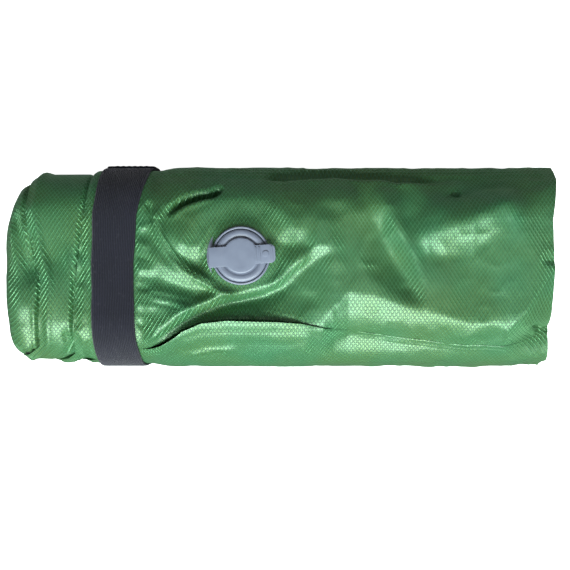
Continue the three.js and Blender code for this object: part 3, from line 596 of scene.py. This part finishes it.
OUTER_TURN_ROWS = 340
INNER_TURN_ROWS = 130
COLUMNS = 310
FINE_TURNS = 1.08
row_turns = [
    *np.linspace(0, FINE_TURNS, OUTER_TURN_ROWS, endpoint=False),
    *np.linspace(FINE_TURNS, TURNS, INNER_TURN_ROWS),
]
column_shares = np.linspace(0, 1, COLUMNS)
grid_q, grid_x = pad_grid(row_turns, column_shares)
cover_points = pad_face(grid_q, grid_x, 0.0)
cloth_measure = np.stack([grid_x, grid_q], axis=-1) * MM


def off_the_valve(quads):
    centre = cover_points.reshape(-1, 3)[quads].mean(axis=1)
    in_hole = np.hypot(centre[:, 0] - VALVE_X, centre[:, 1] - VALVE_Y) < VALVE_HOLE_RADIUS
    on_outer_turn = (turn_of(grid_q.ravel()[quads[:, 0]]) < 1.05) & (centre[:, 2] > HALF_HEIGHT * 1.5)
    return ~(in_hole & on_outer_turn)


outer_cover = grid_object("outer_cover_sheet", cover_points, cloth_measure, keep=off_the_valve, flip=True)


class Socket:
    """A shader socket that can be used in sums, so that shader maths reads as maths."""

    def __init__(self, shader, link):
        self.shader = shader
        self.link = link

    def maths(self, operation, *values):
        return self.shader.node("ShaderNodeMath", {"operation": operation}, dict(enumerate(values)))

    def __add__(self, other):
        return self.maths("ADD", self, other)

    def __sub__(self, other):
        return self.maths("SUBTRACT", self, other)

    def __rsub__(self, other):
        return self.maths("SUBTRACT", other, self)

    def __mul__(self, other):
        return self.maths("MULTIPLY", self, other)

    def __truediv__(self, other):
        return self.maths("DIVIDE", self, other)

    def __abs__(self):
        return self.maths("ABSOLUTE", self)

    def fraction(self):
        return self.maths("FRACT", self)

    def clamped(self, low, high):
        return self.shader.node(
            "ShaderNodeMapRange", {"clamp": True}, {"Value": self, "From Min": low, "From Max": high}
        )

    __radd__ = __add__
    __rmul__ = __mul__


class Shader:
    """A material with one Principled surface, and one method that adds any other node."""

    def __init__(self, name, **surface):
        self.material = bpy.data.materials.new(name)
        self.material.use_nodes = True
        self.tree = self.material.node_tree
        self.surface = self.tree.nodes["Principled BSDF"]
        self.set(**surface)

    def set(self, **surface):
        for key, value in surface.items():
            self.join(self.surface.inputs[key.replace("_", " ")], value)

    def join(self, socket, value):
        if isinstance(value, Socket):
            self.tree.links.new(value.link, socket)
        elif isinstance(value, tuple) and len(value) == 3 and socket.type == "RGBA":
            socket.default_value = (*value, 1)
        else:
            socket.default_value = value

    def node(self, kind, settings=None, inputs=None, output=0):
        node = self.tree.nodes.new(kind)
        for key, value in (settings or {}).items():
            setattr(node, key, value)
        for key, value in (inputs or {}).items():
            self.join(node.inputs[key], value)
        return Socket(self, node.outputs[output])

    def mix(self, factor, first, second):
        node = self.tree.nodes.new("ShaderNodeMix")
        node.data_type = "RGBA"
        for socket, value in zip((node.inputs[0], node.inputs[6], node.inputs[7]), (factor, first, second)):
            self.join(socket, value)
        return Socket(self, node.outputs[2])

    def place(self):
        return self.node("ShaderNodeTexCoord", {}, {}, 3)

    def noise(self, scale, detail=2.0):
        return self.node("ShaderNodeTexNoise", {}, {"Vector": self.place(), "Scale": scale, "Detail": detail})

    def bump(self, height, distance, strength=1.0, normal=None):
        inputs = {"Height": height, "Distance": distance, "Strength": strength}
        if normal is not None:
            inputs["Normal"] = normal
        return self.node("ShaderNodeBump", {}, inputs)


DIAMOND_WIDTH = 0.0024
DIAMOND_LENGTH = 0.0037


def coated_fabric(name):
    fabric = Shader(name, Specular_IOR_Level=0.5, Metallic=0.42, Coat_Roughness=0.38, Coat_IOR=1.5)
    cloth = {"Vector": fabric.node("ShaderNodeUVMap", {"uv_map": "cloth"})}
    u = fabric.node("ShaderNodeSeparateXYZ", {}, cloth, 0) / DIAMOND_WIDTH
    v = fabric.node("ShaderNodeSeparateXYZ", {}, cloth, 1) / DIAMOND_LENGTH
    one = abs((u + v).fraction() - 0.5) * 2
    other = abs((u - v).fraction() - 0.5) * 2
    threads = fabric.node("ShaderNodeMath", {"operation": "MAXIMUM"}, {0: one, 1: other})
    ridges = threads.clamped(0.60, 0.96)
    patchy = fabric.noise(26.0, 3.0).clamped(0.35, 0.68)
    # The green shifts at random between olive and teal. Over it, olive patches in random places are painted
    # reflections of warm surroundings.
    warm_reflection_patches = fabric.noise(11.0, 2.0).clamped(0.42, 0.70)
    fine = fabric.noise(900.0, 2.0)
    green = fabric.mix(patchy, (0.062, 0.165, 0.046), (0.034, 0.178, 0.066))
    olive = fabric.mix(warm_reflection_patches * 0.45, green, (0.090, 0.150, 0.036))
    # The thread ridges are coloured a lighter teal. This is the woven diamond pattern, with a painted
    # highlight of light catching the ridges.
    weave_and_painted_glint = fabric.mix(ridges * 0.5, olive, (0.120, 0.390, 0.200))
    fabric.set(
        Base_Color=weave_and_painted_glint,
        Roughness=0.40 + fine * 0.06 - ridges * 0.06,
        Coat_Weight=0.36 + patchy * 0.22,
    )
    relief = fabric.bump(ridges, 0.00042, 0.95)
    fabric.set(Normal=fabric.bump(fine, 0.00005, 0.35, relief))
    return fabric.material


cover_fabric = coated_fabric("coated_ripstop")
outer_cover.data.materials.append(cover_fabric)
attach(outer_cover, "roll")
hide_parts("outer_cover")

# ---- Inner cover ------------------------------------------------------------------------------------
# The sheet that faces inwards, of the same cloth. It shows only in the roll's two ends and along the
# welded edge, where it meets the outer cover.

COARSER = 2
inner_q, inner_x = grid_q[::COARSER, ::COARSER], grid_x[::COARSER, ::COARSER]
inner_points = pad_face(inner_q, inner_x, 0.0, inner=True)
outer_points = cover_points[::COARSER, ::COARSER]
for border in (np.s_[0, :], np.s_[-1, :], np.s_[:, 0], np.s_[:, -1]):
    inner_points[border] = outer_points[border]
inner_cover = grid_object("inner_cover_sheet", inner_points, np.stack([inner_x, inner_q], axis=-1) * MM)
inner_cover.data.materials.append(cover_fabric)
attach(inner_cover, "roll")
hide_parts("inner_cover")

# ---- Foam core --------------------------------------------------------------------------------------
# A slab of soft open-cell foam between the covers. It ends inside the welded edge.

FOAM_ROWS, FOAM_COLUMNS = 150, 60
FOAM_MARGIN = 0.10
FOAM_DEPTH = 6.0
foam_turns = np.linspace(0.08, TURNS - 0.22, FOAM_ROWS)
foam_shares = np.linspace(FOAM_MARGIN, 1 - FOAM_MARGIN, FOAM_COLUMNS)
foam_q, foam_x = pad_grid(foam_turns, foam_shares)
foam_outer = pad_face(foam_q, foam_x, FOAM_DEPTH)
foam_inner = pad_face(foam_q, foam_x, 1.0, inner=True)
foam_middle = (foam_outer + foam_inner) / 2
for border in (np.s_[0, :], np.s_[-1, :], np.s_[:, 0], np.s_[:, -1]):
    foam_outer[border] = foam_middle[border]
    foam_inner[border] = foam_middle[border]
foam_core = grid_object("foam_slab", np.concatenate([foam_outer, foam_inner[::-1]]), flip=True)
foam_shader = Shader("open_cell_foam", Roughness=0.95, Specular_IOR_Level=0.2)
cells = foam_shader.node("ShaderNodeTexVoronoi", {}, {"Scale": 900.0, "Vector": foam_shader.place()})
foam_shader.set(
    Base_Color=foam_shader.mix(cells, (0.80, 0.78, 0.66), (0.62, 0.60, 0.50)),
    Normal=foam_shader.bump(cells, 0.0004, 0.6),
)
foam_core.data.materials.append(foam_shader.material)
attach(foam_core, "roll")
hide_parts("foam_core")

# ---- Elastic band -----------------------------------------------------------------------------------
# A loop of ribbed, woven elastic that holds the roll. Its ends are lapped and sewn together on the +Y
# side, where the loop runs a little askew.

BAND_ROWS = 260
BAND_INSET = 1.6
BAND_DEEP = 1.35
band_q = np.linspace(0, LOOP, BAND_ROWS, endpoint=False)
BAND_PROFILE = [
    (-1.0, 0.35), (-0.985, 0.72), (-0.94, 0.93), (-0.86, 1.0), *((s, 1.0) for s in np.linspace(-0.7, 0.7, 9)),
    (0.86, 1.0), (0.94, 0.93), (0.985, 0.72), (1.0, 0.35), (0.99, 0.08), (0.95, 0.0), (0.0, 0.0),
    (-0.95, 0.0), (-0.99, 0.08),
]


def band_points(q, profile, base, deep):
    """Rings of points round the roll, for a strip of the band from its inner face outwards."""
    y, z, normal_y, normal_z = (value[:, None] for value in section(q))
    left, right = (edge[:, None] for edge in band_edges(q))
    across = np.array([place for place, _ in profile])[None, :]
    out = base + deep * np.array([rise for _, rise in profile])[None, :]
    wave = 0.35 * noise(q[:, None] / 14.0, 3.0 + across, 6.5)
    x = (left + right) / 2 + across * ((right - left) / 2) + wave
    return np.stack([x, y + out * normal_y, HALF_HEIGHT + z + out * normal_z], axis=-1)


def closed_strip(name, points, flat, ring_closed=True):
    """A mesh over rings of points, closed across and, if asked, along."""
    rows, columns = points.shape[:2]
    index = np.arange(rows * columns).reshape(rows, columns)
    along = np.concatenate([index, index[:1]]) if ring_closed else index
    along = np.concatenate([along, along[:, :1]], axis=1)
    quads = np.stack([along[:-1, :-1], along[1:, :-1], along[1:, 1:], along[:-1, 1:]], axis=-1).reshape(-1, 4)
    faces = quads.tolist()
    if not ring_closed:
        faces += [index[0].tolist(), index[-1][::-1].tolist()]
    return mesh_object(name, points, faces, flat)


BAND_HALF_WIDTH = (band_high[0] - band_low[0]) / 2


def band_measure(q, profile):
    across = np.array([place for place, _ in profile])[None, :] * BAND_HALF_WIDTH * MM
    return np.stack([across + 0 * q[:, None], q[:, None] * MM + 0 * across], axis=-1)


elastic = Shader("ribbed_elastic", Specular_IOR_Level=0.35, Sheen_Weight=0.12, Sheen_Roughness=0.4)
RIB_PITCH, ROW_PITCH = 0.00098, 0.00075
band_flat = {"Vector": elastic.node("ShaderNodeUVMap", {"uv_map": "cloth"})}
band_across = elastic.node("ShaderNodeSeparateXYZ", {}, band_flat, 0) / RIB_PITCH
band_along = elastic.node("ShaderNodeSeparateXYZ", {}, band_flat, 1) / ROW_PITCH
ribs = abs((band_across + 100.0).fraction() - 0.5) * 2
stitch_rows = abs((band_along + (band_across + 100.0).fraction() * 0.5).fraction() - 0.5) * 2
lint = elastic.noise(420.0, 3.0).clamped(0.62, 0.78)
fade = elastic.noise(38.0, 2.0).clamped(0.35, 0.7)
navy = elastic.mix(fade, (0.013, 0.013, 0.029), (0.022, 0.021, 0.045))
# The grooves between the ribs go nearly black: painted shade in the grooves, over the navy of the elastic.
ribbed = elastic.mix(ribs, (0.004, 0.004, 0.008), navy)
elastic.set(
    Base_Color=elastic.mix(lint * 0.35, ribbed, (0.075, 0.070, 0.095)),
    Roughness=0.78 + fade * 0.12,
    Normal=elastic.bump(ribs * 0.8 + stitch_rows * 0.35, 0.0006, 1.0),
)

elastic_loop = closed_strip(
    "elastic_loop",
    band_points(band_q, BAND_PROFILE, -BAND_INSET, BAND_DEEP),
    band_measure(band_q, BAND_PROFILE),
)
# The sewn lap: the outer end of the loop lies on the inner one, over the flat of the +Y side.
LAP_MIDDLE = 3 * FLAT_Y + 3 * CORNER_LENGTH + 3 * FLAT_Z
LAP_REACH = FLAT_Z + 0.4
lap_q = np.linspace(LAP_MIDDLE - LAP_REACH, LAP_MIDDLE + LAP_REACH, 40)
lap = closed_strip(
    "elastic_lap",
    band_points(lap_q, BAND_PROFILE, BAND_DEEP - BAND_INSET - 0.02, BAND_DEEP),
    band_measure(lap_q, BAND_PROFILE),
    ring_closed=False,
)
for strip in (elastic_loop, lap):
    strip.data.materials.append(elastic.material)
lap.parent = elastic_loop
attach(elastic_loop, "band")
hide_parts("elastic_band")
LOOP * MM

# ---- Band stitching ---------------------------------------------------------------------------------
# Dark polyester thread that sews the lap in a box with a cross in it. Each stitch is a short raised
# stretch of thread that dives into the elastic at both ends.

STITCH_LENGTH = 2.4
STITCH_GAP = 0.5
THREAD_RADIUS = 0.28
lap_face = BAND_DEEP * 2 - BAND_INSET - 0.02


def stitch_line(start, end):
    """Tubes of thread from start to end, both (share across the band, q)."""
    run = np.array([(end[0] - start[0]) * BAND_HALF_WIDTH, end[1] - start[1]])
    count = max(1, round(float(np.hypot(*run)) / (STITCH_LENGTH + STITCH_GAP)))
    for i in range(count):
        a, b = (i + 0.08) / count, (i + 0.92) / count
        yield [
            (start[0] + (end[0] - start[0]) * s, start[1] + (end[1] - start[1]) * s, t)
            for s, t in zip(np.linspace(a, b, 7), np.sin(np.linspace(0, math.pi, 7)))
        ]


STITCH_SHARE = 0.72
low_q, high_q = LAP_MIDDLE - LAP_REACH + 1.4, LAP_MIDDLE + LAP_REACH - 1.4
corners_of_box = [
    (-STITCH_SHARE, low_q), (STITCH_SHARE, low_q), (STITCH_SHARE, high_q), (-STITCH_SHARE, high_q),
]
seams = [(corners_of_box[i], corners_of_box[(i + 1) % 4]) for i in range(4)]
seams += [(corners_of_box[0], corners_of_box[2]), (corners_of_box[1], corners_of_box[3])]
thread_mesh = bmesh.new()
SIDES = 8
for seam in seams:
    for stitch in stitch_line(*seam):
        centres = []
        for share, q, rise in stitch:
            y, z, normal_y, normal_z = (float(value) for value in section(q))
            left, right = (float(edge) for edge in band_edges(q))
            out = lap_face - 0.18 + 0.32 * rise
            centre = ((left + right) / 2 + share * (right - left) / 2, y + out * normal_y)
            centres.append(Vector((*centre, HALF_HEIGHT + z + out * normal_z)))
        rings = []
        for i, centre in enumerate(centres):
            way = (centres[min(i + 1, 6)] - centres[max(i - 1, 0)]).normalized()
            side = way.cross(Vector((0, 1, 0))).normalized()
            up = side.cross(way)
            rings.append(
                [
                    thread_mesh.verts.new(
                        (centre + THREAD_RADIUS * (side * math.cos(a) + up * math.sin(a))) * MM
                    )
                    for a in np.arange(SIDES) * 2 * math.pi / SIDES
                ]
            )
        for one, other in zip(rings, rings[1:]):
            for i in range(SIDES):
                j = (i + 1) % SIDES
                thread_mesh.faces.new((one[i], one[j], other[j], other[i]))
        thread_mesh.faces.new(rings[0][::-1])
        thread_mesh.faces.new(rings[-1])
for face in thread_mesh.faces:
    face.smooth = True
bmesh.ops.recalc_face_normals(thread_mesh, faces=thread_mesh.faces)
stitch_data = bpy.data.meshes.new("stitches")
thread_mesh.to_mesh(stitch_data)
stitches = bpy.data.objects.new("lap_stitches", stitch_data)
scene.collection.objects.link(stitches)
thread = Shader("polyester_thread", Roughness=0.55, Sheen_Weight=0.3)
strands = thread.noise(2600.0, 2.0)
thread.set(
    Base_Color=thread.mix(strands, (0.045, 0.042, 0.070), (0.100, 0.095, 0.140)),
    Normal=thread.bump(strands, 0.00008, 0.7),
)
stitch_data.materials.append(thread.material)
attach(stitches, "band")
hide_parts("band_stitching")

# ---- Valve base -------------------------------------------------------------------------------------
# One grey moulding: a flange welded under the cover, a rounded rim that shows, the deflation port and
# the ear that both living hinges spring from.

VALVE_TURN = math.radians(4)
VALVE_SIDES = 96
VALVE_TOP = cover_high[2]


def valve_piece(name, turned=(), slabs=(), notch=None):
    """A moulding about the valve's axis: turned (radius, z) profiles and slabs (outline, z0, z1, edge)."""
    mesh = bmesh.new()
    for profile in turned:
        rings = []
        for radius, z in profile:
            if radius == 0:
                rings.append([mesh.verts.new((0, 0, z))])
                continue
            rings.append(
                [
                    mesh.verts.new((radius * math.cos(a), radius * math.sin(a), z))
                    for a in np.arange(VALVE_SIDES) * 2 * math.pi / VALVE_SIDES
                ]
            )
        pairs = list(zip(rings, rings[1:]))
        if len(rings[0]) > 1:
            pairs.append((rings[-1], rings[0]))
        for one, other in pairs:
            for i in range(VALVE_SIDES):
                j = (i + 1) % VALVE_SIDES
                corners = [one[i % len(one)], one[j % len(one)], other[j % len(other)], other[i % len(other)]]
                unique = list(dict.fromkeys(corners))
                if len(unique) > 2:
                    mesh.faces.new(unique)
    if notch:
        for vertex in mesh.verts:
            if vertex.co.x < 0 and abs(vertex.co.y) < notch[0] and vertex.co.z > notch[1]:
                vertex.co.z = notch[1]
    for outline, z0, z1, edge in slabs:
        base = mesh.faces.new([mesh.verts.new((x, y, z0)) for x, y in outline])
        raised = bmesh.ops.extrude_face_region(mesh, geom=[base])["geom"]
        top = [item for item in raised if isinstance(item, bmesh.types.BMVert)]
        bmesh.ops.translate(mesh, verts=top, vec=(0, 0, z1 - z0))
        if edge:
            faces = [item for item in raised if isinstance(item, bmesh.types.BMFace)]
            edges = [item for face in (*faces, base) for item in face.edges]
            bmesh.ops.bevel(mesh, geom=edges, offset=edge, segments=3, affect="EDGES", profile=0.5)
    bmesh.ops.recalc_face_normals(mesh, faces=mesh.faces)
    data = bpy.data.meshes.new(name)
    turn = Matrix.Rotation(VALVE_TURN, 4, "Z")
    place = Matrix.Translation((VALVE_X * MM, VALVE_Y * MM, VALVE_TOP * MM)) @ turn @ Matrix.Scale(MM, 4)
    bmesh.ops.transform(mesh, matrix=place, verts=mesh.verts)
    for face in mesh.faces:
        face.smooth = True
    mesh.to_mesh(data)
    data.set_sharp_from_angle(angle=math.radians(32))
    thing = bpy.data.objects.new(name, data)
    scene.collection.objects.link(thing)
    return thing


def rectangle(x0, x1, width):
    return [(x0, -width / 2), (x1, -width / 2), (x1, width / 2), (x0, width / 2)]


def moulding(name, light, dark, roughness):
    """Moulded plastic, a little mottled, with fine scratches and a satin skin."""
    plastic = Shader(name, Specular_IOR_Level=0.5, Coat_Weight=0.12, Coat_Roughness=0.35)
    mottle = plastic.noise(160.0, 3.0).clamped(0.35, 0.7)
    grain = plastic.noise(2400.0, 2.0)
    plastic.set(
        Base_Color=plastic.mix(mottle, light, dark),
        Roughness=roughness + grain * 0.12,
        Normal=plastic.bump(grain, 0.00003, 0.35, plastic.bump(mottle, 0.0001, 0.3)),
    )
    return plastic.material


grey_plastic = moulding("grey_moulding", (0.160, 0.180, 0.245), (0.138, 0.156, 0.215), 0.36)
valve_rim = valve_piece(
    "valve_rim",
    turned=[
        [(20, -1.9), (20, -0.9), (17.0, -0.9), (17.0, 1.35), (16.92, 1.66), (16.72, 1.88), (16.45, 1.98),
         (16.2, 2.0), (15.95, 1.94), (15.74, 1.78), (15.6, 1.45), (15.6, -0.9), (11.5, -0.9), (11.5, -6),
         (13, -6), (13, -1.9)],
    ],
    slabs=[(rectangle(-18.0, -15.6, 11), 0.3, 1.5, 0.25)],
    notch=(5.8, 1.5),
)
valve_rim.data.materials.append(grey_plastic)
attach(valve_rim, "roll")
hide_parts("valve_base")

# ---- Deflation plate --------------------------------------------------------------------------------
# Plugs the deflation port: a domed ring with a tapered skirt, a spider that carries the check flap, a
# strap to the hinge and a small lift tab, moulded in one.

spider_arms = []
for i in range(3):
    angle = i * 2 * math.pi / 3
    cos, sin = math.cos(angle), math.sin(angle)
    spider_arms.append([(x * cos - y * sin, x * sin + y * cos) for x, y in rectangle(2.2, 8.2, 1.4)])
lift_ring = valve_piece(
    "lift_ring",
    turned=[
        [(8, -3), (10.4, -3), (11.2, 0.6), (15.3, 0.6), (15.3, 1.7), (15.22, 2.05), (14.95, 2.42),
         (14.5, 2.74), (13.8, 3.0), (13.0, 3.1), (12.2, 3.0), (11.6, 2.78), (11.2, 2.5), (10.95, 2.42),
         (10.7, 2.4), (8.2, 2.4), (8, 2.2)],
        [(1.4, -3), (2.6, -3), (2.6, -2.1), (2.5, -2), (1.4, -2)],
    ],
    slabs=[
        (rectangle(-18.3, -13.2, 11), 1.8, 2.6, 0.2),
        (rectangle(13.6, 18.0, 8), 2.3, 3.1, 0.25),
        *((arm, -3, -2, 0.15) for arm in spider_arms),
    ],
)
lift_ring.data.materials.append(grey_plastic)
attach(lift_ring, "plate")
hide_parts("deflation_plate")

# ---- Inflation cap ----------------------------------------------------------------------------------
# The flip cap: a thick disc with a plug under it, a flat strap to the hinge, and a grip tab with
# cross ribs and a round boss, moulded in one.

TAB_CORNER = 3.0
tab_outline = [(7.4, -5.4), (7.4, 5.4)]
for turn_start, sign in ((90, 1), (0, -1)):
    for step in range(9):
        angle = math.radians(turn_start - step * 90 / 8)
        tab_outline.append((17 + TAB_CORNER * math.cos(angle), sign * 2.4 + TAB_CORNER * math.sin(angle)))
boss = [(14.4 + 1.9 * math.cos(a), 1.9 * math.sin(a)) for a in np.arange(32) * 2 * math.pi / 32]
flip_cap = valve_piece(
    "flip_cap",
    turned=[
        [(0, 4.52), (7.0, 4.5), (9.4, 4.44), (9.9, 4.34), (10.2, 4.14), (10.36, 3.86), (10.4, 3.5),
         (10.4, 3.0), (10.3, 2.8), (10.1, 2.7), (7.7, 2.7), (7.4, 0.4), (7.2, 0.3), (6.5, 0.3),
         (6.3, 0.4), (6.3, 2.7), (0, 2.7)],
    ],
    slabs=[
        (rectangle(-18.45, -6.6, 11.7), 3.4, 4.4, 0.28),
        (rectangle(-18.45, -17.25, 11.7), 3.0, 3.6, 0.15),
        (tab_outline, 3.4, 4.4, 0.28),
        *((rectangle(x - 0.45, x + 0.45, 8.4), 4.2, 4.9, 0.12) for x in (8.7, 10.9, 18.0)),
        (boss, 4.2, 4.85, 0.2),
    ],
)
cap_plastic = moulding("cap_moulding", (0.165, 0.188, 0.258), (0.145, 0.166, 0.232), 0.34)
flip_cap.data.materials.append(cap_plastic)
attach(flip_cap, "cap")
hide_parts("inflation_cap")

# ---- Valve guard ------------------------------------------------------------------------------------
# A moulded grid under the port, inside the valve, that keeps the foam from being sucked into it. It is
# the plain CAD piece, in the valve's own plastic.


def finish_of(node, material):
    """The CAD piece itself is shown, in a better material."""
    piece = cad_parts[node]
    piece.data.materials.clear()
    piece.data.materials.append(material)


finish_of("valve_guard", grey_plastic)

# ---- Plate seal -------------------------------------------------------------------------------------
# A flat ring of soft grey silicone, lying on the valve's ledge. The deflation plate closes on it.

silicone = Shader(
    "soft_silicone",
    Specular_IOR_Level=0.45,
    Subsurface_Weight=0.15,
    Subsurface_Radius=(0.002, 0.002, 0.002),
)
cloudy = silicone.noise(300.0, 3.0).clamped(0.3, 0.7)
silicone.set(
    Base_Color=silicone.mix(cloudy, (0.46, 0.47, 0.47), (0.38, 0.39, 0.40)),
    Roughness=0.42 + cloudy * 0.16,
    Normal=silicone.bump(cloudy, 0.00004, 0.4),
)
finish_of("plate_seal", silicone.material)

# ---- Check flap -------------------------------------------------------------------------------------
# A thin silicone umbrella held in the spider by its own stem. It lets air in and not out.

finish_of("check_flap", silicone.material)
